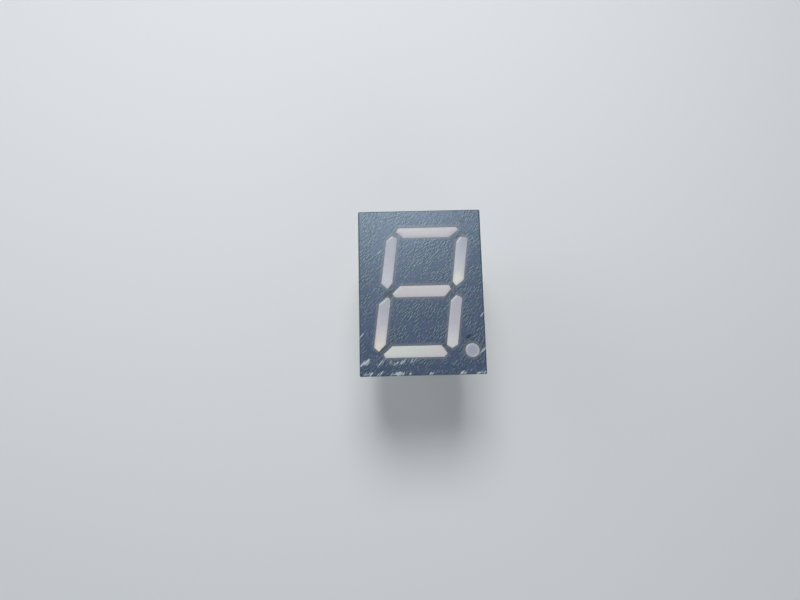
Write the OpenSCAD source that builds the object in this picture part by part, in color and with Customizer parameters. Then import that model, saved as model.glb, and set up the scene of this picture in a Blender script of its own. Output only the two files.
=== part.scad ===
// Single digit seven segment LED display with a decimal point.
// The seating plane is z = 0, the face looks along +Z, the digit stands upright along +Y.

/* [Body] */
// Width of the face and of the body behind it
face_w = 9.7; // [9.5:0.1:12]
// Height of the face and of the body behind it
face_h = 13; // [12.6:0.1:16]
// Depth of the body, from its back rim to its face
body_d = 6.8; // [5.6:0.1:9]
// Wall thickness of the housing at its open back
wall = 0.45; // [0.35:0.05:0.6]
// Radius of the housing's outer edges
edge_r = 0.12; // [0.05:0.01:0.2]
// How far the back sealing stays inside the rim
potting_recess = 0.15; // [0.1:0.05:0.4]

/* [Digit] */
// Height of the digit, over the outer edges of its bars
digit_h = 10.24; // [8.5:0.02:11]
// Width of the digit before it is slanted
digit_w = 6.42; // [6:0.02:7]
// Slant of the digit, in degrees from upright
slant = 7.3; // [0:0.1:10]
// Place of the digit's centre across the face
digit_x = 0.04; // [-0.2:0.01:0.3]
// Thickness of the middle and the lowest level bar
bar_t = 0.91; // [0.7:0.01:1.1]
// Thickness of the top bar
top_bar_t = 0.84; // [0.7:0.01:1.1]
// Thickness of the four upright strokes
stroke_t = 0.86; // [0.7:0.01:1.04]
// Corner radius of the windows
window_r = 0.09; // [0.03:0.01:0.12]
// How far the light guides lie below the face
window_drop = 0.03; // [0:0.01:0.1]

/* [Decimal point] */
// Radius of the decimal point
point_r = 0.53; // [0.4:0.01:0.6]
// Place of the decimal point across the face
point_x = 3.8; // [3.7:0.01:3.9]
// Height of the decimal point's centre above the digit's lower edge
point_rise = 0.47; // [0.4:0.01:0.7]

/* [Pins] */
// Distance between the two columns of pins
row_pitch = 7.62; // [7.5:0.01:7.7]
// Distance between neighbouring pins of a column
pin_pitch = 2.54; // [2:0.01:2.6]
// Diameter of the round part of a pin
pin_d = 0.5; // [0.4:0.01:0.55]
// Length of a pin below the seating plane
pin_l = 5.5; // [3:0.1:12]
// Height above the seating plane at which a pin's round part ends
round_rise = 0.05; // [0:0.01:0.1]
// Side of the square shank that goes through the board
shank_w = 0.38; // [0.3:0.01:0.46]
// Length of the shank above the board
shank_rise = 0.35; // [0.2:0.05:0.4]
// Space over a shank's end, inside the housing
shank_gap = 0.2; // [0.05:0.05:0.5]
// Space round a shank's copper ring, inside the housing
ring_gap = 0.08; // [0.04:0.01:0.1]
// Height of the cone at a pin's tip
tip_h = 0.08; // [0.02:0.01:0.2]

/* [Board] */
// Thickness of the circuit board
board_t = 0.8; // [0.5:0.1:1]
// Distance from the seating plane to the board's back
board_z = 1.6; // [1.2:0.1:2]
// Gap between the board and the wall around it
board_gap = 0.05; // [0.02:0.01:0.1]
// Gap between a pin's shank and its hole, at the shank's corners
hole_gap = 0.05; // [0.03:0.01:0.1]
// Width of the copper ring around a hole
ring_w = 0.12; // [0.08:0.01:0.15]
// Thickness of the copper
copper_t = 0.035; // [0.018:0.001:0.07]
// Width of the tracks
track_w = 0.2; // [0.12:0.01:0.3]
// Radius of the vias
via_r = 0.08; // [0.05:0.01:0.1]
// Height of the solder cones
solder_h = 0.28; // [0.15:0.01:0.3]

/* [Light] */
// Side of an LED chip
chip_w = 0.26; // [0.2:0.01:0.3]
// Height of an LED chip
chip_h = 0.2; // [0.1:0.01:0.25]
// Side of the copper pad under a chip
die_pad_w = 0.36; // [0.3:0.01:0.4]
// Side of the copper pad that takes a bond wire
bond_pad_w = 0.26; // [0.2:0.01:0.3]
// Distance from a chip's centre to its bond pad's centre
wire_span = 0.54; // [0.48:0.01:0.6]
// Radius of a bond wire
wire_r = 0.02; // [0.015:0.001:0.03]
// Size of a bar's well at the board, as a share of its window
well_share = 0.55; // [0.52:0.01:0.7]
// Size of the point's well at the board, as a share of its window
point_share = 0.94; // [0.9:0.01:0.96]
// Distance from a column of pins inwards to the chips of the upright strokes
chip_inset = 1.31; // [1.2:0.01:1.5]
// Thickness of the face over the two hollows inside the digit
hollow_face_t = 1.2; // [0.8:0.1:2]
// Wall between those hollows and the windows around them
hollow_wall = 0.5; // [0.4:0.05:0.8]

/* [Hidden] */
NAMES = ["a", "b", "c", "d", "e", "f", "g", "dp"];
PINS = 10;
$fn = 48;
over = 1; // how far a cut runs past the surface that it opens
well_over = 0.2; // how far a light well runs past the face and the board's top
corner_steps = 4; // straight pieces in each rounded corner of a window

cavity_w = face_w - 2 * wall;
cavity_h = face_h - 2 * wall;
board_top = board_z + board_t;
copper_top = board_top + copper_t;
chip_top = copper_top + chip_h;
hole_r = shank_w / sqrt(2) + hole_gap;
ring_r = hole_r + ring_w;
toe_r = ring_r - 0.02; // foot of a solder cone, just inside its ring
pocket_w = 2 * (ring_r + ring_gap); // the pocket in the housing over a pin's head
pocket_h = shank_rise + shank_gap;
wire_loop_r = wire_span / 2;
half_h = digit_h / 2;
half_w = digit_w / 2;
stroke_u = half_w - stroke_t / 2; // centre line of an upright stroke
chip_x = row_pitch / 2 - chip_inset;

// Ends of the windows, before the slant: [outer corner, tip, inner corner, place of the tip].
// Of an upright stroke, the first three are distances along it, from the digit's middle at its near end
// and from the digit's top or bottom at its far end. Its tip's place is a share of its width, from inside.
B_ENDS = [[0.83, 0.34, 0.70, 0.37], [0.90, 0.81, 1.23, 0.36]];
C_ENDS = [[0.60, 0.33, 0.80, 0.48], [0.92, 0.64, 0.92, 0.50]];
E_ENDS = [[0.97, 0.39, 0.68, 0.27], [0.82, 0.48, 1.03, 0.52]];
F_ENDS = [[0.65, 0.21, 0.68, 0.36], [1.07, 0.63, 0.84, 0.50]];
// Of a bar, the first three are distances from the digit's side, and the tip's place is its depth from the
// bar's outer edge, or for the middle bar its distance from the digit's middle. The left end is first.
A_ENDS = [[0.80, 0.71, 1.37, 0.38], [0.96, 0.79, 1.50, 0.28]];
D_ENDS = [[0.96, 0.73, 1.26, 0.28], [0.96, 0.79, 1.42, 0.28]]; // turned half round, so its right end is first
G_ENDS = [[1.53, 0.95, 1.19, 0.19], [1.11, 0.93, 1.38, 0.12]];

function stroke_outline(ends) = let (low = ends[0], high = ends[1], inner = half_w - stroke_t) [
    [half_w, low[0]],
    [half_w, half_h - high[0]],
    [inner + high[3] * stroke_t, half_h - high[1]],
    [inner, half_h - high[2]],
    [inner, low[2]],
    [inner + low[3] * stroke_t, low[1]]
];
function bar_outline(ends, t) = let (left = ends[0], right = ends[1]) [
    [left[0] - half_w, half_h],
    [half_w - right[0], half_h],
    [half_w - right[1], half_h - right[3]],
    [half_w - right[2], half_h - t],
    [left[2] - half_w, half_h - t],
    [left[1] - half_w, half_h - left[3]]
];
function middle_outline(ends) = let (left = ends[0], right = ends[1]) [
    [left[0] - half_w, bar_t / 2],
    [half_w - right[0], bar_t / 2],
    [half_w - right[1], right[3]],
    [half_w - right[2], -bar_t / 2],
    [left[2] - half_w, -bar_t / 2],
    [left[1] - half_w, -left[3]]
];
function flipped(points, x, y) = [for (p = points) [x * p[0], y * p[1]]];

OUTLINES = [
    bar_outline(A_ENDS, top_bar_t),
    stroke_outline(B_ENDS),
    flipped(stroke_outline(C_ENDS), 1, -1),
    flipped(bar_outline(D_ENDS, bar_t), -1, -1),
    flipped(stroke_outline(E_ENDS), -1, -1),
    flipped(stroke_outline(F_ENDS), -1, 1),
    middle_outline(G_ENDS)
];

// Middle of each window before the slant
stroke_far = 0.64; // usual distance of a stroke's far tip from the digit's top or bottom
stroke_near = 0.36; // usual distance of its near tip from the digit's middle
stroke_v = (half_h - stroke_far + stroke_near) / 2;
bar_v = half_h - bar_t / 2;
CENTRES = [
    [0, bar_v], [stroke_u, stroke_v], [stroke_u, -stroke_v], [0, -bar_v],
    [-stroke_u, -stroke_v], [-stroke_u, stroke_v], [0, 0]
];
point_at = [point_x, -half_h + point_rise];

// Middle of each well at the board: the chip is on one side of it and its bond pad on the other
bar_chip_x = 0.4;
bar_chip_y = bar_v - 0.2; // a little nearer the digit's middle than its bar
point_chip = [row_pitch / 2 - 0.71, pin_at(PINS / 2)[1] + pin_pitch / 2 - 0.04]; // between pins 6 and 7
CHIPS = [
    [bar_chip_x, bar_chip_y], [chip_x, stroke_v], [chip_x, -stroke_v], [-bar_chip_x, -bar_chip_y],
    [-chip_x, -stroke_v], [-chip_x, stroke_v], [0, 0], point_chip
];
// Direction from the chip to its bond pad
TURNS = [0, 90 - slant, -90 - slant, 180, -90 - slant, 90 - slant, 180, -60];
// Pin that each bond pad's track runs to, and the two pins of the common track
CHIP_PINS = [10, 9, 7, 5, 4, 2, 3, 6];
COMMON_PINS = [1, 8];

function slanted(p) = [p[0] + p[1] * tan(slant) + digit_x, p[1]];

// Pins count down the left column from the top and up the right column
function pin_at(i) = i <= PINS / 2
    ? [-row_pitch / 2, (PINS / 2 + 1) / 2 * pin_pitch - i * pin_pitch]
    : [row_pitch / 2, (i - PINS / 2) * pin_pitch - (PINS / 2 + 1) / 2 * pin_pitch];

function along(turn, d) = d * [cos(turn), sin(turn)];
function die_at(i) = CHIPS[i] - along(TURNS[i], wire_span / 2);
function bond_at(i) = CHIPS[i] + along(TURNS[i], wire_span / 2);

// The two sides of corner b leave it along u and v; an arc of radius r takes its place
function unit(v) = v / norm(v);
function corner_arc(a, b, c, r) =
    let (
        u = unit(a - b),
        v = unit(c - b),
        half = acos(u * v) / 2,
        middle = b + unit(u + v) * r / sin(half),
        first = b + u * r / tan(half) - middle,
        start = atan2(first[1], first[0]),
        turn = (u[0] * v[1] - u[1] * v[0] > 0 ? -1 : 1) * (180 - 2 * half)
    )
    [for (k = [0:corner_steps]) middle + along(start + turn * k / corner_steps, r)];
function rounded(p, r) = [
    for (i = [0:len(p) - 1])
        each corner_arc(p[(i + len(p) - 1) % len(p)], p[i], p[(i + 1) % len(p)], r)
];
function window(i) = i == 7
    ? [for (k = [0:$fn - 1]) point_at + along(360 * k / $fn, point_r)]
    : rounded([for (p = OUTLINES[i]) slanted(p)], window_r);
function window_centre(i) = i == 7 ? point_at : slanted(CENTRES[i]);
function share(i) = i == 7 ? point_share : well_share;
// Point that a well narrows towards, seen from the front
function apex(i) = (CHIPS[i] - share(i) * window_centre(i)) / (1 - share(i));

// How wide a well is at height z, as a share of its window
function share_at(i, z) = share(i) + (1 - share(i)) * (z - board_top) / (body_d - board_top);

// Space of one light well, which narrows from its window down to the board and runs past both
module light_well(i) {
    low = board_top - well_over;
    high = body_d + well_over;
    translate([apex(i)[0], apex(i)[1], low])
        linear_extrude(height = high - low, scale = share_at(i, high) / share_at(i, low), slices = 1)
            polygon([for (p = window(i)) share_at(i, low) * (p - apex(i))]);
}

// Block with rounded upright and front edges
module rounded_block(w, h, d, r) {
    x = w / 2 - r;
    y = h / 2 - r;
    translate([-x, -h / 2, 0]) cube([2 * x, h, d - r]);
    translate([-w / 2, -y, 0]) cube([w, 2 * y, d - r]);
    translate([-x, -y, d - 2 * r]) cube([2 * x, 2 * y, 2 * r]);
    for (sx = [-1, 1]) {
        for (sy = [-1, 1]) {
            translate([sx * x, sy * y, 0]) cylinder(h = d - r, r = r);
            translate([sx * x, sy * y, d - r]) sphere(r = r);
        }
        translate([sx * x, y, d - r]) rotate([90, 0, 0]) cylinder(h = 2 * y, r = r);
    }
    for (sy = [-1, 1])
        translate([-x, sy * y, d - r]) rotate([0, 90, 0]) cylinder(h = 2 * x, r = r);
}

// Hollow behind the face inside the upper or lower loop of the digit
module digit_hollow(side) {
    u = half_w - stroke_t - hollow_wall;
    low = bar_t / 2 + hollow_wall;
    high = half_h - bar_t - hollow_wall;
    loop = [[-u, side * low], [u, side * low], [u, side * high], [-u, side * high]];
    translate([0, 0, board_top - over])
        linear_extrude(height = body_d - hollow_face_t - board_top + over)
            polygon([for (p = loop) slanted(p)]);
}

module reflector_housing() {
    color("#5c6d80")
        difference() {
            rounded_block(face_w, face_h, body_d, edge_r);
            translate([-cavity_w / 2, -cavity_h / 2, -over]) cube([cavity_w, cavity_h, board_top + over]);
            for (i = [0:7]) light_well(i);
            for (i = [1:PINS])
                translate([pin_at(i)[0] - pocket_w / 2, pin_at(i)[1] - pocket_w / 2, board_top - over])
                    cube([pocket_w, pocket_w, pocket_h + over]);
            digit_hollow(1);
            digit_hollow(-1);
        }
}

module light_guide(i) {
    difference() {
        intersection() {
            light_well(i);
            translate([-face_w / 2, -face_h / 2, board_top])
                cube([face_w, face_h, body_d - window_drop - board_top]);
        }
        chip_stack(i);
        wire_loop(i);
    }
}

module segment(i) {
    color("#dcdad4") light_guide(i);
}

module decimal_point() {
    color("#c4c0c8") light_guide(7);
}

// Square of side w on the board's top, turned to line up with its well
module on_board(i, at, w, z, h) {
    translate([at[0], at[1], z]) rotate([0, 0, TURNS[i]]) translate([-w / 2, -w / 2, 0]) cube([w, w, h]);
}

module chip_stack(i) {
    on_board(i, die_at(i), die_pad_w, board_top, copper_t);
    on_board(i, bond_at(i), bond_pad_w, board_top, copper_t);
    on_board(i, die_at(i), chip_w, copper_top, chip_h);
}

// Half ring from the chip's top, with a straight leg down to the bond pad
module wire_loop(i) {
    translate([CHIPS[i][0], CHIPS[i][1], chip_top])
        rotate([0, 0, TURNS[i]]) {
            rotate([90, 0, 0])
                rotate_extrude(angle = 180) translate([wire_loop_r, 0]) circle(r = wire_r);
            translate([wire_loop_r, 0, -chip_h]) cylinder(h = chip_h, r = wire_r);
        }
}

module led_chip(i) {
    color("#e8c860") on_board(i, die_at(i), chip_w, copper_top, chip_h);
}

module bond_wire(i) {
    color("gold") wire_loop(i);
}

module track(from, to) {
    run = to - from;
    translate(from) rotate(atan2(run[1], run[0])) translate([0, -track_w / 2]) square([norm(run), track_w]);
    for (p = [from, to]) translate(p) circle(d = track_w);
}

// Back tracks: one for each bond pad, and one common track for all the chips
module back_tracks() {
    bus_top = die_at(0);
    bus_bottom = die_at(3);
    bus_middle = die_at(6);
    for (i = [0:7]) track(bond_at(i), pin_at(CHIP_PINS[i]));
    track(bus_top, bus_middle);
    track(bus_middle, bus_bottom);
    for (i = [1, 5, 2, 4, 7]) {
        end = i == 1 || i == 5 ? bus_top : bus_bottom;
        rise = (die_at(i)[1] - bus_middle[1]) / (end[1] - bus_middle[1]);
        track(die_at(i), bus_middle + rise * (end - bus_middle));
    }
    track(bus_top, pin_at(COMMON_PINS[0]));
    track(bus_middle, pin_at(COMMON_PINS[1]));
}

module pin_holes() {
    for (i = [1:PINS]) translate(pin_at(i)) circle(r = hole_r);
}

module rings() {
    for (i = [1:PINS]) translate(pin_at(i)) circle(r = ring_r);
}

module vias() {
    for (i = [0:7])
        for (p = [die_at(i), bond_at(i)]) translate([p[0], p[1], board_z]) cylinder(h = board_t, r = via_r);
}

module back_copper() {
    translate([0, 0, board_z - copper_t])
        linear_extrude(height = copper_t)
            difference() {
                union() {
                    rings();
                    back_tracks();
                }
                pin_holes();
            }
}

module board_copper() {
    color("#c87840") {
        back_copper();
        vias();
        for (i = [0:7]) {
            on_board(i, die_at(i), die_pad_w, board_top, copper_t);
            on_board(i, bond_at(i), bond_pad_w, board_top, copper_t);
        }
        translate([0, 0, board_top])
            linear_extrude(height = copper_t)
                difference() {
                    rings();
                    pin_holes();
                }
    }
}

module circuit_board() {
    w = cavity_w - 2 * board_gap;
    h = cavity_h - 2 * board_gap;
    color("#3f7a55")
        difference() {
            translate([-w / 2, -h / 2, board_z]) cube([w, h, board_t]);
            translate([0, 0, board_z - over]) linear_extrude(height = board_t + 2 * over) pin_holes();
            vias();
        }
}

module shank(i) {
    translate([pin_at(i)[0] - shank_w / 2, pin_at(i)[1] - shank_w / 2, round_rise])
        cube([shank_w, shank_w, board_top + shank_rise - round_rise]);
}

module pin(i) {
    color("#c9ccd0") {
        shank(i);
        translate([pin_at(i)[0], pin_at(i)[1], -pin_l]) {
            cylinder(h = tip_h, r1 = pin_d / 2 - tip_h, r2 = pin_d / 2);
            translate([0, 0, tip_h]) cylinder(h = pin_l + round_rise - tip_h, d = pin_d);
        }
    }
}

// Solder in the hole and in a cone on each side of the board
module solder_fill(i) {
    translate([pin_at(i)[0], pin_at(i)[1], 0]) {
        translate([0, 0, board_z - copper_t]) cylinder(h = board_t + 2 * copper_t, r = hole_r);
        translate([0, 0, copper_top]) cylinder(h = solder_h, r1 = toe_r, r2 = hole_r);
        translate([0, 0, board_z - copper_t - solder_h]) cylinder(h = solder_h, r1 = hole_r, r2 = toe_r);
    }
}

module solder_joint(i) {
    color("#b8bcc2")
        difference() {
            solder_fill(i);
            shank(i);
        }
}

module back_potting() {
    color("#d8d6cf")
        difference() {
            translate([-cavity_w / 2, -cavity_h / 2, potting_recess])
                cube([cavity_w, cavity_h, board_z - potting_recess]);
            back_copper();
            for (i = [1:PINS]) {
                solder_fill(i);
                shank(i);
            }
        }
}

reflector_housing();
for (i = [0:6]) segment(i);
decimal_point();
circuit_board();
board_copper();
back_potting();
for (i = [0:7]) led_chip(i);
for (i = [0:7]) bond_wire(i);
for (i = [1:PINS]) pin(i);
for (i = [1:PINS]) solder_joint(i);
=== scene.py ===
import math
import bpy
import bmesh
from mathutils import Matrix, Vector, noise
from mathutils.bvhtree import BVHTree


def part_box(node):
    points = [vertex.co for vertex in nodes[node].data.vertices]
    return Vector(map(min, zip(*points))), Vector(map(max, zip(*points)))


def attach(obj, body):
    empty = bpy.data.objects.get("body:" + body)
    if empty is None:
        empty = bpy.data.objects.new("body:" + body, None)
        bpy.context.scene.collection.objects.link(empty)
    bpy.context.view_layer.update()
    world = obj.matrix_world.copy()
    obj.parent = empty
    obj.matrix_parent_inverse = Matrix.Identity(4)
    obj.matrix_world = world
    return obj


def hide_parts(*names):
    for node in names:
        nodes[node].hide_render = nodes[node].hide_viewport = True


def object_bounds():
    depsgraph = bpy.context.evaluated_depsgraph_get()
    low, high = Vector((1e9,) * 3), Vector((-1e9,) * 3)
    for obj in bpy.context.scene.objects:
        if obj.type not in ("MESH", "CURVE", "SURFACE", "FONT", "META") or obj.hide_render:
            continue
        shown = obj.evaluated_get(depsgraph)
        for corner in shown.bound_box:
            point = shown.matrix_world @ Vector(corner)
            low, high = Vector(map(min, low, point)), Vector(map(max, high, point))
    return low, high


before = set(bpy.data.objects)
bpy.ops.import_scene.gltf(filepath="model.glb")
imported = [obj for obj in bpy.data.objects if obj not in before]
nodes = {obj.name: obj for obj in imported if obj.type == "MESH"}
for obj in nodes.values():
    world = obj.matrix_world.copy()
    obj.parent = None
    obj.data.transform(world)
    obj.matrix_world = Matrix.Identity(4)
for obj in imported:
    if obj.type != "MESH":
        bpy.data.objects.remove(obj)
cadLow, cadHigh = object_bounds()
mm = 0.001
print("frame loaded:", len(nodes), "CAD nodes")

# places that several pieces share
housingLow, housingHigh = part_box("reflector_housing")
pottingLow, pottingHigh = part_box("back_potting")
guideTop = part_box("segment_a")[1].z
faceZ = housingHigh.z
rimZ = housingLow.z
guideNames = sorted(n for n in nodes if n.startswith("segment_")) + ["decimal_point"]
pinNames = sorted(n for n in nodes if n.startswith("pin_"))
pinBoxes = [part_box(n) for n in pinNames]
closeTo = 0.002 * mm  # two points nearer than this are the same
weldAt = 0.0005 * mm  # loose corners of a CAD mesh nearer than this are joined
flatTo = math.radians(0.4)  # neighbouring facets that turn less than this are one flat face
levelFrom = 0.999  # a face is level when its normal rises or falls by more than this

cameraView = {
    "fromFace": (-1.795, -6.002, 36.844),  # mm from the middle of the face
    "turn": (8.236, -0.024, -1.329),  # degrees
    "lens": 21.6,
    "sensor": 36.0,
    "nearest": 1.0,  # mm
    "furthest": 3000.0,
}

# level is the share of a white surface's brightness that a lamp gives where it shines straight on
lamps = {
    "key": {"from": (-6, 68, 112), "size": 64, "level": 0.58, "tint": (1.0, 0.99, 0.97)},
    "fill": {"from": (-130, 50, 62), "size": 120, "level": 0.16, "tint": (0.95, 0.975, 1.0)},
    "low": {"from": (30, -130, 50), "size": 110, "level": 0.11, "tint": (0.95, 0.975, 1.0)},
}

room = {
    "air": (0.93, 0.965, 1.0),
    "strength": 0.27,
    "seenStrength": 0.55,  # how pale the room is behind the object and in its reflections
    "floor": (0.80, 0.83, 0.86),
    "floorSize": 400,  # mm from its middle to its edge
    "fadeStart": 70,  # mm from the object
    "fadeEnd": 230,
}


def makeCamera():
    data = bpy.data.cameras.new("camera")
    data.lens = cameraView["lens"]
    data.sensor_width = cameraView["sensor"]
    data.clip_start = cameraView["nearest"] * mm
    data.clip_end = cameraView["furthest"] * mm
    camera = bpy.data.objects.new("camera", data)
    bpy.context.scene.collection.objects.link(camera)
    camera.location = Vector((0, 0, faceZ)) + Vector(cameraView["fromFace"]) * mm
    camera.rotation_euler = [math.radians(a) for a in cameraView["turn"]]
    bpy.context.scene.camera = camera


def makeLamps():
    middle = (cadLow + cadHigh) / 2
    for name, lamp in lamps.items():
        data = bpy.data.lights.new(name, "AREA")
        data.shape = "DISK"
        data.size = lamp["size"] * mm
        data.energy = lamp["level"] * (math.pi * Vector(lamp["from"]).length * mm) ** 2
        data.color = lamp["tint"]
        light = bpy.data.objects.new(name, data)
        bpy.context.scene.collection.objects.link(light)
        light.location = middle + Vector(lamp["from"]) * mm
        light.rotation_euler = (-Vector(lamp["from"])).to_track_quat("-Z", "Y").to_euler()


makeCamera()
makeLamps()
print("camera and lamps made")


def newMaterial(name, roughness, metallic=0.0):
    material = bpy.data.materials.new(name)
    material.use_nodes = True
    tree = material.node_tree
    shader = tree.nodes["Principled BSDF"]
    shader.inputs["Roughness"].default_value = roughness
    shader.inputs["Metallic"].default_value = metallic
    return material, tree, shader


# makes a shader node, with linked or plain values on its inputs
def addNode(tree, kind, values=None, **settings):
    made = tree.nodes.new("ShaderNode" + kind)
    for key, value in settings.items():
        setattr(made, key, value)
    for key, value in (values or {}).items():
        if hasattr(value, "is_output"):
            tree.links.new(value, made.inputs[key])
        else:
            made.inputs[key].default_value = value
    return made


# Object coordinates counted in units of size, in mm, along axes turned by so many degrees
def stretched(tree, size, turn=(0, 0, 0), shift=(0, 0, 0)):
    place = addNode(tree, "TexCoord").outputs["Object"]
    made = addNode(tree, "Mapping", {
        "Vector": place,
        "Location": [v * mm for v in shift],
        "Rotation": [math.radians(a) for a in turn],
        "Scale": [v * mm for v in size],
    }, vector_type="TEXTURE")
    return made.outputs["Vector"]


def axesInMm(tree):
    split = addNode(tree, "SeparateXYZ", {"Vector": stretched(tree, (1, 1, 1))})
    return [split.outputs[axis] for axis in "XYZ"]


def noiseOf(tree, vector, detail=2.0, roughness=0.5, distortion=0.0):
    made = addNode(tree, "TexNoise", {
        "Vector": vector, "Scale": 1.0, "Detail": detail, "Roughness": roughness, "Distortion": distortion,
    })
    return made.outputs["Fac"]


def ramp(tree, value, low, high, out=(0.0, 1.0), smooth=True):
    made = addNode(tree, "MapRange", {
        "Value": value, "From Min": low, "From Max": high, "To Min": out[0], "To Max": out[1],
    }, interpolation_type="SMOOTHSTEP" if smooth else "LINEAR")
    return made.outputs["Result"]


def worked(tree, operation, a, b):
    return addNode(tree, "Math", {0: a, 1: b}, operation=operation).outputs[0]


def times(tree, a, b):
    return worked(tree, "MULTIPLY", a, b)


def plus(tree, a, b):
    return worked(tree, "ADD", a, b)


def larger(tree, a, b):
    return worked(tree, "MAXIMUM", a, b)


def unsigned(tree, value):
    return worked(tree, "ABSOLUTE", value, 0.0)


def lengthOf(tree, vector):
    return addNode(tree, "VectorMath", {0: vector}, operation="LENGTH").outputs["Value"]


# a number that the mesh carries at its corners
def carried(tree, name):
    return addNode(tree, "Attribute", attribute_name=name).outputs["Fac"]


# 1 where a value lies between two others, with soft ends
def between(tree, value, low, high, soft):
    rise = ramp(tree, value, low - soft, low + soft)
    fall = ramp(tree, value, high - soft, high + soft, (1.0, 0.0))
    return times(tree, rise, fall)


def mixed(tree, share, a, b):
    a, b = [(*c, 1) if isinstance(c, tuple) else c for c in (a, b)]
    made = addNode(tree, "Mix", {"Factor": share, "A": a, "B": b}, data_type="RGBA")
    return made.outputs["Result"]


# links a shader's colour, its roughness and a fine relief: how deep in mm, and how strongly it shows
def finish(tree, shader, colour, height, relief, roughness):
    depth, strength = relief
    tree.links.new(colour, shader.inputs["Base Color"])
    bump = addNode(tree, "Bump", {"Height": height, "Strength": strength, "Distance": depth * mm})
    tree.links.new(bump.outputs["Normal"], shader.inputs["Normal"])
    tree.links.new(roughness, shader.inputs["Roughness"])


# a CAD node's mesh as one closed surface, its flat stretches joined up
def copyOf(nodeName):
    bm = bmesh.new()
    bm.from_mesh(nodes[nodeName].data)
    bmesh.ops.remove_doubles(bm, verts=bm.verts, dist=weldAt)
    bmesh.ops.dissolve_limit(bm, angle_limit=flatTo, verts=bm.verts, edges=bm.edges)
    return bm


def rounded(bm, edges, size, segments):
    bmesh.ops.bevel(bm, geom=edges, offset=size * mm, offset_type="OFFSET", segments=segments,
                    profile=0.5, affect="EDGES", material=-1, clamp_overlap=True)


def isLevel(face, z):
    return abs(face.normal.z) > levelFrom and abs(face.calc_center_median().z - z) < closeTo


def levelFaces(bm, z):
    return [face for face in bm.faces if isLevel(face, z)]


# an edge between a level face at height z and one that turns away
def isRim(edge, z):
    return [isLevel(face, z) for face in edge.link_faces].count(True) == 1


def evenLines(low, high, parts):
    return [low + i * (high - low) / parts for i in range(1, parts)]


# cuts the level faces at height z along a line across the given axis
def cutAt(bm, z, axis, place):
    faces = levelFaces(bm, z)
    parts = faces + list({e for f in faces for e in f.edges}) + list({v for f in faces for v in f.verts})
    normal = Vector((1, 0, 0)) if axis == 0 else Vector((0, 1, 0))
    bmesh.ops.bisect_plane(bm, geom=parts, dist=weldAt / 2, plane_co=normal * place, plane_no=normal)


def clipped(value):
    return min(max(value, 0), 1)


# finds the nearest point on some of a mesh's faces
def nearestOn(bm, faces):
    bm.verts.index_update()
    return BVHTree.FromPolygons([v.co for v in bm.verts], [[v.index for v in f.verts] for f in faces])


def newObject(bm, name):
    mesh = bpy.data.meshes.new(name)
    bm.normal_update()
    bm.to_mesh(mesh)
    bm.free()
    made = bpy.data.objects.new(name, mesh)
    bpy.context.scene.collection.objects.link(made)
    return made


def makePiece(bm, name, nodeName, materials, crease):
    piece = newObject(bm, name)
    for material in materials:
        piece.data.materials.append(material)
    piece.data.shade_smooth()
    piece.data.set_sharp_from_angle(angle=math.radians(crease))
    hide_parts(nodeName)
    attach(piece, "root")
    return piece


def paint(nodeName, material):
    mesh = nodes[nodeName].data
    mesh.materials.clear()
    mesh.materials.append(material)


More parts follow.
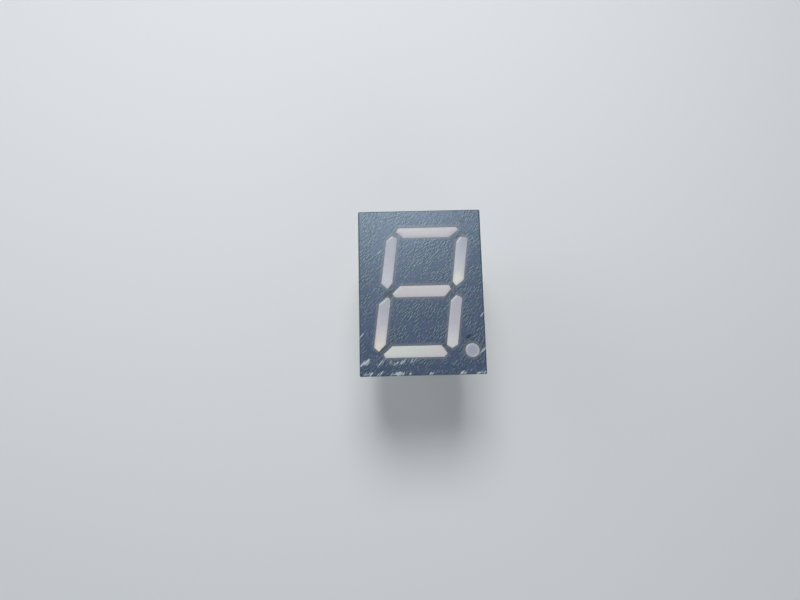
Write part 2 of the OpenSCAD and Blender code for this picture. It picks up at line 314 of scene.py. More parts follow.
# housing: white plastic with a dark grained coat
housing = {
    "plastic": (0.80, 0.80, 0.77),
    "plasticShade": (0.70, 0.70, 0.67),
    "plasticRough": 0.5,
    "plasticRoughRange": (0.42, 0.58),
    "plasticRelief": (0.01, 0.4),  # mm deep, and how strongly it shows
    "windowEdge": 0.10,  # mm, radius of the edges round the windows
    "rimEdge": 0.05,
    "edgeSteps": 3,
    "frontMargin": 0.3,  # mm, the windows are further than this from the outer walls
    "bareRim": 0.16,  # mm, height of the uncoated edge at the back
    "bareWander": 0.07,
    "bareSoft": 0.05,
    "bareEdge": 0.6,  # how much of the back edge's rounding the wall's coat leaves free
    "wallDark": (0.030, 0.043, 0.064),
    "wallPale": (0.045, 0.060, 0.086),
    "wallRough": 0.42,
    "wallRoughRange": (0.34, 0.46),
    "wallRelief": (0.012, 0.7),
    "wallShine": 0.6,
    "peel": 0.09,  # mm, size of the lacquer's orange peel
    "rub": (0.05, 0.05, 1.5),  # mm, fine upright rubs
    "cornerFrom": 0.16,  # mm before the corner, where the coat begins to thin out
    "cornerTo": 0.07,
    "crease": 32,  # degrees between faces that meet in a sharp edge
    "tilted": 0.02,  # the face's coat reaches the outer edge's faces whose normals rise by more
    "upright": 0.95,  # and the windows' sides whose normals point this much to the left or right
    "flat": 0.9999,  # a wide face is flat when its normal follows an axis this closely

    # the coat on the face
    "teal": (0.020, 0.047, 0.100),
    "violet": (0.042, 0.044, 0.126),
    "toneSize": 0.8,  # mm, of the teal and violet patches
    "tealShade": 0.6,  # brightness of the teal in the darker patches
    "dark": (0.004, 0.010, 0.022),  # painted shade on the grain's shaded sides
    "darkShare": 0.95,
    "light": (0.20, 0.275, 0.37),  # painted light on its lit sides; the walls' pale peel and rubs take this colour too
    "lightShare": 0.62,
    "rough": 0.36,
    "roughOnCrests": 0.33,
    "roughInValleys": 0.41,
    "shadedDull": 0.12,  # how much rougher the grain's shaded sides are
    "shine": 1.0,
    "bend": 1.5,  # refractive index of the lacquer
    "reflection": (0.70, 0.88, 1.0),
    "mesh": 0.14,  # mm between the lines on the face

    # its grain: slanting strokes of two lengths, strong in some patches and faint in others
    "relief": (0.013, 1.0),  # mm from its valleys to its crests, and how strongly it shows
    "strokeTurn": 47,  # degrees from level
    "strokeLength": 0.31,  # mm, of a long stroke
    "strokeWidth": 0.115,
    "longShare": 0.6,
    "longTone": 0.55,
    "shortLength": 0.6,  # of a short stroke, as a share of a long one's
    "shortWidth": 0.8,
    "shortTurn": 4,  # degrees that the short strokes are steeper
    "shortShare": 0.4,
    "shortTone": 0.38,
    "slope": 0.05,  # mm, how far each stroke's dark side is from its light side
    "tones": (0.012, 0.085),  # slopes at which a side begins to show, and shows fully
    "patch": (1.3, 0.9, 1.1),  # mm, along and across the strokes, and deep
    "faint": 0.3,  # strength in the faint patches
    "smoothBand": (-6.12, -5.66),  # mm, heights on the face where it is fainter
    "smoothSoft": 0.1,
    "smoothStrength": 0.5,
    "dust": (0.11, 0.09, 0.09),  # mm
    "dustTone": 0.16,

    # the thin coat round the windows, the narrow bridges between two windows, and the outer edge
    "windowSide": (0.16, 0.165, 0.19),
    "windowSidePale": (0.26, 0.265, 0.29),
    "windowRough": 0.5,
    "windowRoughRange": (0.42, 0.56),
    "windowRelief": (0.01, 0.6),
    "windowShine": 0.2,
    "byWindow": (0.13, 0.135, 0.155),
    "byWindowShare": 0.8,
    "byWindowReach": 0.20,  # mm
    "bridge": (0.022, 0.021, 0.024),
    "bridgeShare": 0.8,
    "bridgeStroke": (1.2, 0.11, 0.11),  # mm
    "bridgeTurn": 3,  # degrees that its strokes are flatter than the grain's
    "bridgeNear": 0.34,  # mm from the second nearest window, where they are darkest
    "bridgeFar": 0.66,
    "outer": (0.028, 0.036, 0.078),
    "outerShare": 0.75,
    "outerFrom": 0.16,  # mm from the wall, where the outer edge begins
    "outerTo": 0.03,

    # wear
    "scuff": (0.46, 0.51, 0.55),
    "streak": (0.75, 0.085, 0.1),  # mm, of one rubbed streak
    "streakTurn": 2,  # degrees that the streaks are steeper than the grain
    "streakGrowth": 0.30,  # how much a worn place adds to the streaks
    "lean": 0.9,  # how far the worn places lean to the right as they rise
    # worn places: x, y, width and height in mm, and how much of the coat is gone
    "wornPlaces": [
        (-4.35, -5.42, 0.85, 0.60, 1.0), (-3.15, -5.48, 0.75, 0.70, 0.6),
        (-2.52, -5.48, 0.36, 0.50, 0.9), (-2.05, -5.55, 0.60, 0.36, 0.6),
        (-1.50, -5.40, 0.40, 0.55, 0.6), (-0.75, -5.38, 0.60, 0.50, 0.5),
        (-4.05, -6.35, 0.90, 0.40, 0.8), (-3.30, -6.32, 0.45, 0.45, 0.7),
        (-1.95, -6.34, 1.10, 0.42, 0.9), (-0.95, -6.40, 0.80, 0.30, 0.6),
        (0.55, -6.40, 0.45, 0.30, 0.7), (3.05, -6.35, 0.60, 0.36, 0.9),
        (4.40, -6.40, 0.80, 0.30, 0.8), (4.64, -4.65, 0.32, 0.95, 0.8),
        (4.66, -1.90, 0.30, 0.45, 0.7), (-4.64, -3.40, 0.32, 0.50, 0.8),
        (-3.24, 3.14, 0.30, 0.42, 1.0),
    ],
    # furrows in the bridges, and two nicks, dark with painted shade: x, y, length and width in mm,
    # degrees, how dark
    "hollows": [
        (-2.65, -0.28, 2.10, 0.11, 37, 0.6), (-2.42, 0.31, 0.60, 0.10, 47, 0.5),
        (2.14, -0.31, 1.30, 0.11, 48, 0.6), (2.47, -0.46, 0.90, 0.10, 49, 0.6),
        (-3.09, -4.49, 1.30, 0.16, 42, 0.8), (1.79, -4.36, 0.50, 0.10, -34, 0.3),
        (2.44, -4.49, 0.45, 0.10, 20, 0.3), (3.06, 4.32, 0.70, 0.12, 44, 0.6),
        (3.57, -3.64, 0.64, 0.28, 26, 1.0), (3.90, -3.92, 0.34, 0.14, 39, 0.7),
    ],
    "paintedHollowShade": (0.003, 0.003, 0.004),
    "hollowDull": 0.4,  # how much rougher a hollow is than the coat
    "hollowDepth": 1.0,  # as a share of the grain's relief
}


# slanting strokes, and the same strokes lit from their upper left side, for the painted light and shade
def strokesOf(tree, length, width, turn, start):
    across = math.radians(turn + 90)
    step = (housing["slope"] * math.cos(across), housing["slope"] * math.sin(across), 0)
    moved = [a + b for a, b in zip(start, step)]
    here = noiseOf(tree, stretched(tree, (length, width, width), (0, 0, turn), start), 1)
    beside = noiseOf(tree, stretched(tree, (length, width, width), (0, 0, turn), moved), 1)
    return here, worked(tree, "SUBTRACT", beside, here)


# height of the grain, and how far its sides face the light or away from it, which sets their painted light
# and shade
def grainOf(tree):
    length, width, turn = housing["strokeLength"], housing["strokeWidth"], housing["strokeTurn"]
    shorter, narrower = length * housing["shortLength"], width * housing["shortWidth"]
    long, longLit = strokesOf(tree, length, width, turn, (0, 0, 0))
    short, shortLit = strokesOf(tree, shorter, narrower, turn + housing["shortTurn"], (3, 1, 0))
    height = plus(tree, times(tree, long, housing["longShare"]),
                  times(tree, short, housing["shortShare"]))
    sides = plus(tree, times(tree, longLit, housing["longTone"]),
                 times(tree, shortLit, housing["shortTone"]))
    return height, sides


def grainStrength(tree, cloud, y):
    band = between(tree, y, *housing["smoothBand"], housing["smoothSoft"])
    patches = ramp(tree, cloud, 0.42, 0.57, (housing["faint"], 1.0))
    return times(tree, patches, ramp(tree, band, 0, 1, (1.0, housing["smoothStrength"])))


def coatColour(tree, cloud):
    tone = noiseOf(tree, stretched(tree, [housing["toneSize"]] * 3, shift=(4, 0, 2)))
    hue = mixed(tree, ramp(tree, tone, 0.42, 0.60), housing["teal"], housing["violet"])
    shade = tuple(c * housing["tealShade"] for c in housing["teal"])
    return mixed(tree, ramp(tree, cloud, 0.36, 0.64, (0.0, 0.7)), hue, shade)


# the coat is thin round the windows, with long dark strokes in the bridges between them
def besideWindows(tree, base):
    near = carried(tree, "nearWindow")
    share = times(tree, times(tree, near, near), housing["byWindowShare"])
    base = mixed(tree, share, base, housing["byWindow"])
    turn = housing["strokeTurn"] - housing["bridgeTurn"]
    strokes = noiseOf(tree, stretched(tree, housing["bridgeStroke"], (0, 0, turn), (2, 6, 0)), 1)
    dark = ramp(tree, strokes, 0.40, 0.48, (housing["bridgeShare"], 0.0))
    return mixed(tree, times(tree, carried(tree, "bridge"), dark), base, housing["bridge"])


# the grain fades out on the rounded outer edge, which is darker
def onOuterEdge(tree, base, x, y):
    reach = housingHigh / mm
    sides = [ramp(tree, unsigned(tree, place), end - housing["outerFrom"], end - housing["outerTo"])
             for place, end in ((x, reach.x), (y, reach.y))]
    return mixed(tree, times(tree, larger(tree, *sides), housing["outerShare"]), base, housing["outer"])


# how strong the strongest of some soft ovals is: x, y, length, width, degrees from level, amount
def ovalsOf(tree, x, y, ovals, core, rim):
    spot = addNode(tree, "CombineXYZ", {"X": x, "Y": y}).outputs["Vector"]
    strongest = 0.0
    for right, up, length, width, turn, amount in ovals:
        place = addNode(tree, "Mapping", {
            "Vector": spot,
            "Location": (right, up, 0),
            "Rotation": (0, 0, math.radians(turn)),
            "Scale": (length / 2, width / 2, 1),
        }, vector_type="TEXTURE").outputs["Vector"]
        strongest = larger(tree, ramp(tree, lengthOf(tree, place), core, rim, (amount, 0.0)), strongest)
    return strongest


# slanting streaks where the coat is rubbed off, long in the middle of a worn place
def scuffed(tree, base, x, y):
    lean = housing["lean"]
    leaning = plus(tree, x, times(tree, y, -lean))
    ovals = [(right - lean * up, up, width, height, 0, amount)
             for right, up, width, height, amount in housing["wornPlaces"]]
    worn = ovalsOf(tree, leaning, y, ovals, 0.2, 1.3)
    turn = housing["strokeTurn"] + housing["streakTurn"]
    streaks = noiseOf(tree, stretched(tree, housing["streak"], (0, 0, turn), (4, 9, 0)), 0)
    bare = ramp(tree, plus(tree, streaks, times(tree, worn, housing["streakGrowth"])), 0.65, 0.75)
    return mixed(tree, times(tree, bare, ramp(tree, worn, 0.0, 0.25)), base, housing["scuff"])


def faceCoatMaterial():
    material, tree, shader = newMaterial("grained coat", housing["rough"])
    shader.inputs["Specular IOR Level"].default_value = housing["shine"]
    shader.inputs["Specular Tint"].default_value = (*housing["reflection"], 1)
    shader.inputs["IOR"].default_value = housing["bend"]
    x, y = axesInMm(tree)[:2]
    turn = (0, 0, housing["strokeTurn"])
    cloud = noiseOf(tree, stretched(tree, housing["patch"], turn), 3, 0.6, 0.4)
    dust = plus(tree, noiseOf(tree, stretched(tree, housing["dust"], turn), 1), -0.5)
    height, sides = grainOf(tree)
    strength = grainStrength(tree, cloud, y)
    sides = plus(tree, times(tree, sides, strength), times(tree, dust, housing["dustTone"]))

    # painted shade on the grain's sides that face away from the light, painted light on those that face it
    start, end = housing["tones"]
    shaded = ramp(tree, sides, -start, -end)
    base = mixed(tree, times(tree, shaded, housing["darkShare"]), coatColour(tree, cloud), housing["dark"])
    lit = times(tree, ramp(tree, sides, start, end), housing["lightShare"])
    base = mixed(tree, lit, base, housing["light"])
    base = besideWindows(tree, base)
    base = onOuterEdge(tree, base, x, y)
    base = scuffed(tree, base, x, y)
    # hollows: dips in the relief with painted shade in them, and rougher
    hollows = ovalsOf(tree, x, y, housing["hollows"], 0.4, 1.2)
    base = mixed(tree, hollows, base, housing["paintedHollowShade"])

    rough = ramp(tree, height, 0.35, 0.65, (housing["roughInValleys"], housing["roughOnCrests"]), False)
    rough = plus(tree, rough, times(tree, shaded, housing["shadedDull"]))
    rough = plus(tree, rough, times(tree, hollows, housing["hollowDull"]))
    relief = times(tree, plus(tree, height, -0.5), strength)
    relief = plus(tree, relief, times(tree, hollows, -housing["hollowDepth"]))
    finish(tree, shader, base, relief, housing["relief"], rough)
    return material


# the coat is thin and dull where it turns down into a window
def windowCoatMaterial():
    material, tree, shader = newMaterial("coat at the windows", housing["windowRough"])
    shader.inputs["Specular IOR Level"].default_value = housing["windowShine"]
    cloud = noiseOf(tree, stretched(tree, [0.4] * 3))
    fine = noiseOf(tree, stretched(tree, [0.1] * 3))
    share = ramp(tree, cloud, 0.35, 0.65)
    base = mixed(tree, share, housing["windowSide"], housing["windowSidePale"])
    rough = ramp(tree, cloud, 0.3, 0.7, housing["windowRoughRange"])
    finish(tree, shader, base, fine, housing["windowRelief"], rough)
    return material


def wallCoatMaterial():
    material, tree, shader = newMaterial("coat on the walls", housing["wallRough"])
    shader.inputs["Specular IOR Level"].default_value = housing["wallShine"]
    x, y, z = axesInMm(tree)
    cloud = noiseOf(tree, stretched(tree, (1.6, 1.6, 1.2)), 3, 0.6, 0.3)
    peel = noiseOf(tree, stretched(tree, [housing["peel"]] * 3), 2, 0.55)
    rubs = noiseOf(tree, stretched(tree, housing["rub"], (9, 7, 0)), 2, 0.6)
    ragged = noiseOf(tree, stretched(tree, (0.5, 0.5, 0.3)), 3, 0.6)
    base = mixed(tree, ramp(tree, cloud, 0.35, 0.65), housing["wallDark"], housing["wallPale"])
    base = mixed(tree, ramp(tree, peel, 0.55, 0.75, (0.0, 0.10)), base, housing["light"])
    base = mixed(tree, ramp(tree, rubs, 0.62, 0.74, (0.0, 0.18)), base, housing["light"])

    # the coat is thin on the corners and stops short of the back rim
    corner = (housingHigh.x + housingHigh.y) / mm
    outwards = plus(tree, unsigned(tree, x), unsigned(tree, y))
    atCorner = ramp(tree, outwards, corner - housing["cornerFrom"], corner - housing["cornerTo"])
    nearEdge = times(tree, atCorner, ramp(tree, ragged, 0.35, 0.70, (0.05, 0.30)))
    base = mixed(tree, nearEdge, base, housing["scuff"])
    rise = plus(tree, z, times(tree, plus(tree, ragged, -0.5), 2 * housing["bareWander"]))
    start, end = housing["bareRim"] - housing["bareSoft"], housing["bareRim"] + housing["bareSoft"]
    base = mixed(tree, ramp(tree, rise, start, end, (1.0, 0.0)), base, housing["plasticShade"])
    height = plus(tree, times(tree, peel, 0.8), times(tree, rubs, 0.3))
    rough = ramp(tree, cloud, 0.3, 0.7, housing["wallRoughRange"])
    finish(tree, shader, base, height, housing["wallRelief"], rough)
    return material


def plasticMaterial():
    material, tree, shader = newMaterial("white moulded plastic", housing["plasticRough"])
    cloud = noiseOf(tree, stretched(tree, (1.2, 1.2, 0.8)), 3, 0.55)
    fine = noiseOf(tree, stretched(tree, [0.08] * 3), 2, 0.6)
    share = ramp(tree, cloud, 0.3, 0.7)
    base = mixed(tree, share, housing["plastic"], housing["plasticShade"])
    rough = ramp(tree, cloud, 0.3, 0.7, housing["plasticRoughRange"])
    finish(tree, shader, base, fine, housing["plasticRelief"], rough)
    return material


def windowRims(bm):
    reach = housingHigh - Vector((1, 1, 0)) * housing["frontMargin"] * mm
    rims = []
    for edge in bm.edges:
        middle = (edge.verts[0].co + edge.verts[1].co) / 2
        if isRim(edge, faceZ) and abs(middle.x) < reach.x and abs(middle.y) < reach.y:
            rims.append(edge)
    return rims


# 0 is the grained coat, 1 the walls' coat, 2 the thin coat at the windows, 3 the bare plastic
def coatNumber(face):
    middle = face.calc_center_median()
    outer = abs(middle.x) > pottingHigh.x + closeTo or abs(middle.y) > pottingHigh.y + closeTo
    facesOut = face.normal.x * middle.x > 0 or face.normal.y * middle.y > 0
    if isLevel(face, faceZ) or (outer and face.normal.z > housing["tilted"]):
        return 0
    if outer and facesOut and middle.z > rimZ + housing["rimEdge"] * housing["bareEdge"] * mm:
        return 1
    if middle.z > faceZ - housing["windowEdge"] * mm:
        return 0 if abs(face.normal.xy.normalized().x) > housing["upright"] else 2
    return 3


# tells each corner of the face's mesh how near a window it is, and how far into a bridge
def markWindows(bm, nearWindow, bridge):
    meshes = [nodes[name].data for name in guideNames]
    windows = [BVHTree.FromPolygons([v.co for v in mesh.vertices], [p.vertices for p in mesh.polygons])
               for mesh in meshes]
    bridgeWidth = housing["bridgeFar"] - housing["bridgeNear"]
    for vertex in {v for face in levelFaces(bm, faceZ) for v in face.verts}:
        nearest, second = sorted(window.find_nearest(vertex.co)[3] / mm for window in windows)[:2]
        vertex[nearWindow] = clipped(1 - (nearest - housing["windowEdge"]) / housing["byWindowReach"])
        vertex[bridge] = clipped((housing["bridgeFar"] - second) / bridgeWidth)


def makeHousing():
    bm = copyOf("reflector_housing")
    nearWindow = bm.verts.layers.float.new("nearWindow")
    bridge = bm.verts.layers.float.new("bridge")
    frontRims = windowRims(bm)
    backRims = [edge for edge in bm.edges if isRim(edge, rimZ)]
    rounded(bm, frontRims, housing["windowEdge"], housing["edgeSteps"])
    rounded(bm, [edge for edge in backRims if edge.is_valid], housing["rimEdge"], housing["edgeSteps"])
    bm.normal_update()
    for face in bm.faces:
        face.material_index = coatNumber(face)
    for axis in (0, 1):
        low, high = housingLow[axis], housingHigh[axis]
        for line in evenLines(low, high, int((high - low) / (housing["mesh"] * mm))):
            cutAt(bm, faceZ, axis, line)
    markWindows(bm, nearWindow, bridge)
    materials = [faceCoatMaterial(), wallCoatMaterial(), windowCoatMaterial(), plasticMaterial()]
    piece = makePiece(bm, "housing", "reflector_housing", materials, housing["crease"])
    for face in piece.data.polygons:  # a wide flat face is shaded flat right up to its rounded edges
        if max(abs(n) for n in face.normal) > housing["flat"]:
            face.use_smooth = False


makeHousing()
print("housing made")

# light guides: milky epoxy in the windows
guides = {
    "edge": 0.02,  # mm, radius of a guide's edge
    "edgeSteps": 2,
    "crown": 0.016,  # mm, how far the cast surface falls away to the window's wall
    "crownReach": 0.26,  # mm from the wall to the flat middle
    "mesh": 0.06,  # mm between the lines of its surface
    "crease": 60,  # degrees between faces that meet in a sharp edge
    "rough": 0.36,
    "roughRange": (0.31, 0.41),
    "rimDull": 0.25,  # how much rougher it is close to the wall
    "rim": (0.50, 0.50, 0.58),  # its colour close to the wall, darker than the middle: painted shade
    "pointRim": (0.62, 0.62, 0.69),
    "rimShare": 0.5,
    "drift": 0.3,  # how unevenly the colours run into each other
    "haze": (0.40, 0.38, 0.42),
    "hazeShare": 0.12,
    "speck": (0.11, 0.09, 0.1),  # mm, pale specks at the walls
    "speckShare": 0.6,
    "ripple": (0.02, 0.3),  # mm deep, and how strongly it shows
    "pale": (0.84, 0.88, 0.92),  # painted highlight on its upper left edges, and the colour of the pale specks
    "paleSide": (-0.7, 0.7),
    "paleFocus": 8,
    "paleReach": 0.09,  # mm
    # colour at the low or left end, in the middle and at the high or right end
    "colours": {
        "segment_a": [(0.53, 0.53, 0.59), (0.54, 0.54, 0.57), (0.53, 0.52, 0.58)],
        "segment_b": [(0.79, 0.80, 0.73), (0.51, 0.54, 0.60), (0.34, 0.38, 0.47)],
        "segment_c": [(0.70, 0.74, 0.73), (0.51, 0.50, 0.57), (0.42, 0.44, 0.53)],
        "segment_d": [(0.69, 0.73, 0.67), (0.64, 0.69, 0.65), (0.63, 0.59, 0.62)],
        "segment_e": [(0.89, 0.82, 0.75), (0.54, 0.54, 0.60), (0.34, 0.39, 0.48)],
        "segment_f": [(0.61, 0.63, 0.70), (0.45, 0.47, 0.55), (0.36, 0.40, 0.48)],
        "segment_g": [(0.57, 0.56, 0.60), (0.59, 0.58, 0.60), (0.60, 0.60, 0.64)],
        "decimal_point": [(0.36, 0.39, 0.47), (0.35, 0.38, 0.46), (0.36, 0.39, 0.47)],
    },
}


def guideMaterial(name):
    material, tree, shader = newMaterial("cast epoxy " + name, guides["rough"])
    low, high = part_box(name)
    level = high.x - low.x > high.y - low.y
    axis = axesInMm(tree)[0 if level else 1]
    ends = (low.x / mm, high.x / mm) if level else (low.y / mm, high.y / mm)
    wander = times(tree, plus(tree, noiseOf(tree, stretched(tree, [0.9] * 3)), -0.5), guides["drift"])
    along = plus(tree, ramp(tree, axis, *ends, smooth=False), wander)
    colours = addNode(tree, "ValToRGB", {"Fac": along})
    stops = colours.color_ramp.elements
    stops.new(0.5)
    for stop, colour in zip(stops, guides["colours"][name]):
        stop.color = (*colour, 1)
    haze = noiseOf(tree, stretched(tree, [0.28] * 3, shift=(1, 2, 0)), 3, 0.6)
    hazy = ramp(tree, haze, 0.35, 0.75, (0.0, guides["hazeShare"]))
    shade = mixed(tree, hazy, colours.outputs["Color"], guides["haze"])

    # at the walls: a rim, darker on the segments as painted shade and paler on the decimal point, a
    # painted highlight on the upper left edges, and small pale specks
    nearWall = carried(tree, "nearWall")
    rim = guides["pointRim" if name == "decimal_point" else "rim"]
    # close to the wall the segments darken as painted shade; the decimal point turns paler
    shade = mixed(tree, times(tree, nearWall, guides["rimShare"]), shade, rim)
    shade = mixed(tree, carried(tree, "paintedHighlight"), shade, guides["pale"])
    specks = ramp(tree, noiseOf(tree, stretched(tree, guides["speck"], shift=(3, 8, 0)), 1), 0.66, 0.72)
    specks = times(tree, specks, ramp(tree, nearWall, 0.15, 0.5, (0.0, guides["speckShare"])))
    shade = mixed(tree, specks, shade, guides["pale"])
    ripple = noiseOf(tree, stretched(tree, [0.35] * 3))
    rough = ramp(tree, haze, 0.3, 0.7, guides["roughRange"])
    rough = plus(tree, rough, times(tree, nearWall, guides["rimDull"]))
    finish(tree, shader, shade, ripple, guides["ripple"], rough)
    return material


# the faces of the cast surface and of its rounded edge
def castFaces(bm):
    return [face for face in bm.faces
            if face.calc_center_median().z > guideTop - guides["edge"] * mm]


def makeGuide(name):
    bm = copyOf(name)
    nearWall = bm.verts.layers.float.new("nearWall")
    paintedHighlight = bm.verts.layers.float.new("paintedHighlight")
    rims = [edge for edge in bm.edges if isRim(edge, guideTop)]
    rounded(bm, rims, guides["edge"], guides["edgeSteps"])
    bm.normal_update()
    roundFaces = [face for face in castFaces(bm) if not isLevel(face, guideTop)]
    directions = [face.normal.copy() for face in roundFaces]
    walls = nearestOn(bm, roundFaces)
    low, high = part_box(name)
    for axis in (0, 1):
        parts = int((high[axis] - low[axis]) / (guides["mesh"] * mm)) + 1
        for line in evenLines(low[axis], high[axis], parts):
            cutAt(bm, guideTop, axis, line)

    # the surface falls away to the walls, and its upper left edges carry a painted highlight
    paleSide = Vector(guides["paleSide"]).normalized()
    upper = {v for face in castFaces(bm) for v in face.verts}
    for vertex in upper:
        wall, distance = walls.find_nearest(vertex.co)[2:]
        vertex[nearWall] = max(0, 1 - distance / (guides["crownReach"] * mm)) ** 2
        # painted highlight: strongest close to a wall that faces the upper left
        facing = max(0, directions[wall].xy.normalized().dot(paleSide))
        nearEdge = max(0, 1 - distance / (guides["paleReach"] * mm))
        vertex[paintedHighlight] = facing ** guides["paleFocus"] * nearEdge
    for vertex in upper:
        vertex.co.z -= guides["crown"] * mm * vertex[nearWall]
    makePiece(bm, name + "_cast", name, [guideMaterial(name)], guides["crease"])


for name in guides["colours"]:
    makeGuide(name)
print("light guides made")

# potting: milky resin that climbs at the walls and at the pins
potting = {
    "colour": (0.70, 0.69, 0.62),
    "deep": (0.60, 0.60, 0.52),
    "shade": (0.42, 0.43, 0.38),
    "rough": 0.22,
    "roughRange": (0.16, 0.30),
    "ripple": (0.03, 0.35),  # mm deep, and how strongly it shows
    "crease": 60,  # degrees between faces that meet in a sharp edge
    "wallClimb": 0.10,  # mm that the resin stands up at the walls
    "wallReach": 0.22,
    "pinClimb": 0.085,
    "pinReach": 0.16,
    "wave": 0.025,
    "waveLength": 2.4,
    "mesh": 0.30,  # mm between lines on the open surface
    "finest": [0.04, 0.09, 0.16, 0.26, 0.40],  # mm from a wall or a pin's side to the close lines
}


def pottingMaterial():
    material, tree, shader = newMaterial("milky resin", potting["rough"])
    cloud = noiseOf(tree, stretched(tree, [2.2] * 3), 3, 0.55, 0.5)
    haze = noiseOf(tree, stretched(tree, [0.5] * 3), 3, 0.6)
    base = mixed(tree, ramp(tree, cloud, 0.3, 0.7), potting["colour"], potting["deep"])
    base = mixed(tree, ramp(tree, haze, 0.55, 0.8, (0.0, 0.35)), base, potting["shade"])
    ripple = noiseOf(tree, stretched(tree, [0.6] * 3))
    rough = ramp(tree, haze, 0.3, 0.7, potting["roughRange"])
    finish(tree, shader, base, ripple, potting["ripple"], rough)
    return material


# width of a pin's square part, from its corners above the potting's open surface
def shankWidth():
    middle = (pinBoxes[0][0] + pinBoxes[0][1]) / 2
    corners = [v.co.x - middle.x for v in nodes[pinNames[0]].data.vertices if v.co.z > pottingLow.z]
    return 2 * max(corners)


# how far a spot is from a square around the middle
def fromSquare(spot, middle, half):
    x = max(abs(spot.x - middle.x) - half, 0)
    y = max(abs(spot.y - middle.y) - half, 0)
    return math.hypot(x, y)


# lines close together at the walls and pins, and even lines where those leave room
def pottingLines(axis, halfShank):
    low, high = pottingLow[axis], pottingHigh[axis]
    centres = {round((a + b)[axis] / 2, 6) for a, b in pinBoxes}  # one for each row of pins
    lines = set()
    for gap in potting["finest"]:
        lines |= {low + gap * mm, high - gap * mm}
        for centre in centres:
            lines |= {centre - halfShank - gap * mm, centre + halfShank + gap * mm}
    for even in evenLines(low, high, int((high - low) / (potting["mesh"] * mm))):
        if min(abs(even - line) for line in lines) > potting["mesh"] * mm / 4:
            lines.add(even)
    return sorted(lines)


def makePotting():
    bm = copyOf("back_potting")
    low, high = pottingLow, pottingHigh
    halfShank = shankWidth() / 2
    for axis in (0, 1):
        for line in pottingLines(axis, halfShank):
            cutAt(bm, low.z, axis, line)
    for vertex in {v for face in levelFaces(bm, low.z) for v in face.verts}:
        spot = vertex.co
        toWall = min(spot.x - low.x, high.x - spot.x, spot.y - low.y, high.y - spot.y)
        toPin = min(fromSquare(spot, (a + b) / 2, halfShank) for a, b in pinBoxes)
        climb = potting["wallClimb"] * math.exp(-toWall / (potting["wallReach"] * mm))
        climb += potting["pinClimb"] * math.exp(-toPin / (potting["pinReach"] * mm))
        wave = potting["wave"] * noise.noise(spot / (potting["waveLength"] * mm))
        vertex.co.z -= (min(climb, potting["wallClimb"]) + wave * min(1, toWall / mm)) * mm
    makePiece(bm, "back_resin", "back_potting", [pottingMaterial()], potting["crease"])


makePotting()
print("potting made")

# pins: tinned wire with cut ends
pinLook = {
    "tin": (0.60, 0.60, 0.59),
    "dull": (0.49, 0.485, 0.47),
    "cut": (0.60, 0.42, 0.30),
    "rough": 0.34,
    "roughRange": (0.28, 0.46),
    "drawn": (0.035, 0.035, 1.6),  # mm, fine lines along the wire
    "drawnRelief": (0.008, 0.35),  # mm deep, and how strongly it shows
    "cutHeight": 0.05,  # mm of bare copper at the tip
    "cutWander": 0.06,
}


def pinMaterial():
    material, tree, shader = newMaterial("dull tin", pinLook["rough"], 1.0)
    z = axesInMm(tree)[2]
    tip = pinBoxes[0][0].z / mm
    drawn = noiseOf(tree, stretched(tree, pinLook["drawn"]), 2, 0.6)
    patch = noiseOf(tree, stretched(tree, (0.35, 0.35, 0.8)), 3, 0.6)
    smear = noiseOf(tree, stretched(tree, [0.10] * 3), 2, 0.6)
    base = mixed(tree, ramp(tree, patch, 0.4, 0.7), pinLook["tin"], pinLook["dull"])
    height = plus(tree, z, times(tree, smear, -pinLook["cutWander"]))
    cut = ramp(tree, height, tip, tip + pinLook["cutHeight"], (1.0, 0.0))
    base = mixed(tree, cut, base, pinLook["cut"])
    rough = ramp(tree, patch, 0.3, 0.7, pinLook["roughRange"])
    finish(tree, shader, base, drawn, pinLook["drawnRelief"], rough)
    return material


tin = pinMaterial()
for name in pinNames:
    paint(name, tin)
print("pins painted")

# inside: board, copper, chips, wires and solder
inside = {
    "board": (0.10, 0.22, 0.13),
    "boardFibre": (0.20, 0.34, 0.20),
    "boardEdge": (0.42, 0.44, 0.30),
    "fibre": 0.42,  # mm between the threads of the glass cloth
    "boardRough": 0.38,
    "boardRoughRange": (0.30, 0.48),
    "boardRelief": (0.012, 0.4),  # mm deep, and how strongly it shows
    "boardSoft": 0.03,  # mm, how softly the board's edge begins
    # by the start of the nodes' names: the finish, its bright and dull colours, mm across its patches,
    # its roughness from and to, its relief, and 1 for a metal
    "patchy": {
        "board_copper": ("copper foil", (0.72, 0.42, 0.26), (0.42, 0.22, 0.12), 0.6,
                         (0.25, 0.45), (0.006, 0.5), 1.0),
        "led_chip_": ("chip crystal", (0.62, 0.50, 0.20), (0.30, 0.24, 0.10), 0.12,
                      (0.12, 0.30), (0.003, 0.5), 0.0),
        "bond_wire_": ("gold wire", (0.90, 0.68, 0.30), (0.70, 0.48, 0.18), 0.08,
                       (0.18, 0.32), (0.001, 0.5), 1.0),
        "solder_joint_": ("solder", (0.70, 0.71, 0.72), (0.46, 0.47, 0.49), 0.3,
                          (0.16, 0.36), (0.012, 0.5), 1.0),
    },
}


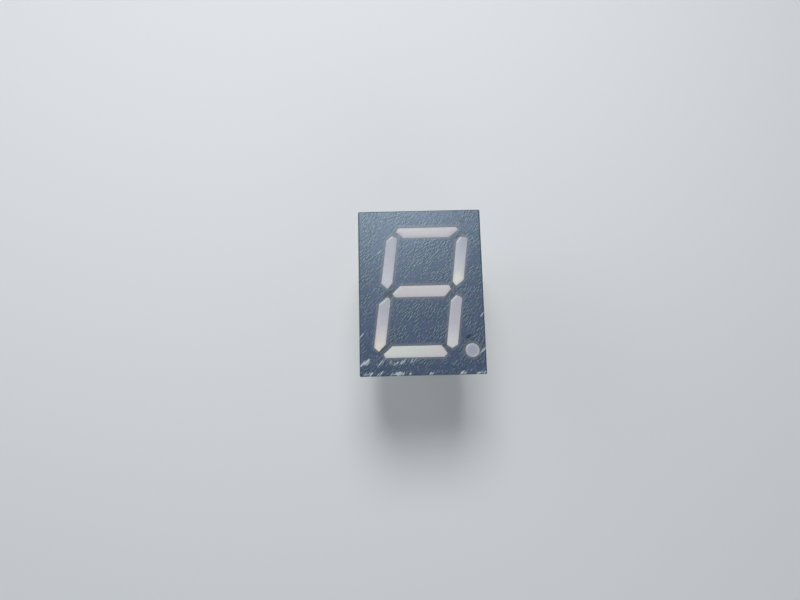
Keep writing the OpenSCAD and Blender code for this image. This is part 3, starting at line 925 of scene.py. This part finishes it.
def boardMaterial():
    material, tree, shader = newMaterial("glass epoxy board", inside["boardRough"])
    low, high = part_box("circuit_board")
    threads = [addNode(tree, "TexWave", {
        "Vector": stretched(tree, [inside["fibre"]] * 3),
        "Scale": 0.5,
        "Distortion": 0.6,
        "Detail": 1.0,
    }, bands_direction=direction).outputs["Fac"] for direction in "XY"]
    cloth = times(tree, *threads)
    cloud = noiseOf(tree, stretched(tree, (1.5, 1.5, 0.4)), 3, 0.6)
    base = mixed(tree, ramp(tree, cloth, 0.1, 0.8, (0.0, 0.7)), inside["board"], inside["boardFibre"])
    x, y = axesInMm(tree)[:2]
    inward = times(tree, between(tree, x, low.x / mm, high.x / mm, inside["boardSoft"]),
                   between(tree, y, low.y / mm, high.y / mm, inside["boardSoft"]))
    base = mixed(tree, ramp(tree, inward, 0.4, 0.9, (1.0, 0.0)), base, inside["boardEdge"])
    rough = ramp(tree, cloud, 0.3, 0.7, inside["boardRoughRange"])
    finish(tree, shader, base, plus(tree, cloth, cloud), inside["boardRelief"], rough)
    return material


# metal or crystal with duller patches and a fine uneven surface
def patchyMaterial(name, bright, dull, patchSize, roughness, relief, metallic):
    material, tree, shader = newMaterial(name, roughness[0], metallic)
    patch = noiseOf(tree, stretched(tree, [patchSize] * 3), 3, 0.6)
    fine = noiseOf(tree, stretched(tree, [patchSize / 5] * 3), 2, 0.6)
    base = mixed(tree, ramp(tree, patch, 0.38, 0.66), bright, dull)
    finish(tree, shader, base, fine, relief, ramp(tree, patch, 0.3, 0.7, roughness))
    return material


def paintInside():
    paint("circuit_board", boardMaterial())
    for start, look in inside["patchy"].items():
        material = patchyMaterial(*look)
        for name in nodes:
            if name.startswith(start):
                paint(name, material)


paintInside()
print("inner pieces painted")


# 1 for the rays that show the room itself: straight from the camera, mirrored or passed through
def seenRays(tree):
    rays = addNode(tree, "LightPath").outputs
    mirrored = larger(tree, rays["Is Glossy Ray"], rays["Is Transmission Ray"])
    return larger(tree, rays["Is Camera Ray"], mirrored)


def makeWorld():
    world = bpy.data.worlds.new("room")
    world.use_nodes = True
    tree = world.node_tree
    background = tree.nodes["Background"]
    background.inputs["Color"].default_value = (*room["air"], 1)
    strength = ramp(tree, seenRays(tree), 0, 1, (room["strength"], room["seenStrength"]))
    tree.links.new(strength, background.inputs["Strength"])
    bpy.context.scene.world = world
    bpy.context.scene.view_settings.view_transform = "Standard"


# a pale floor that fades into the room's air far from the object
def floorMaterial():
    material, tree, shader = newMaterial("pale floor", 0.9)
    shader.inputs["Base Color"].default_value = (*room["floor"], 1)
    air = addNode(tree, "Emission", {"Color": (*room["air"], 1), "Strength": room["seenStrength"]})
    away = lengthOf(tree, stretched(tree, (1, 1, 1)))
    fade = times(tree, ramp(tree, away, room["fadeStart"], room["fadeEnd"]), seenRays(tree))
    both = addNode(tree, "MixShader", {0: fade, 1: shader.outputs["BSDF"], 2: air.outputs["Emission"]})
    tree.links.new(both.outputs["Shader"], tree.nodes["Material Output"].inputs["Surface"])
    return material


def makeFloor():
    bm = bmesh.new()
    bmesh.ops.create_grid(bm, x_segments=1, y_segments=1, size=room["floorSize"] * mm)
    bmesh.ops.translate(bm, verts=bm.verts, vec=(0, 0, cadLow.z))
    floor = newObject(bm, "floor")
    floor.data.materials.append(floorMaterial())


makeWorld()
makeFloor()
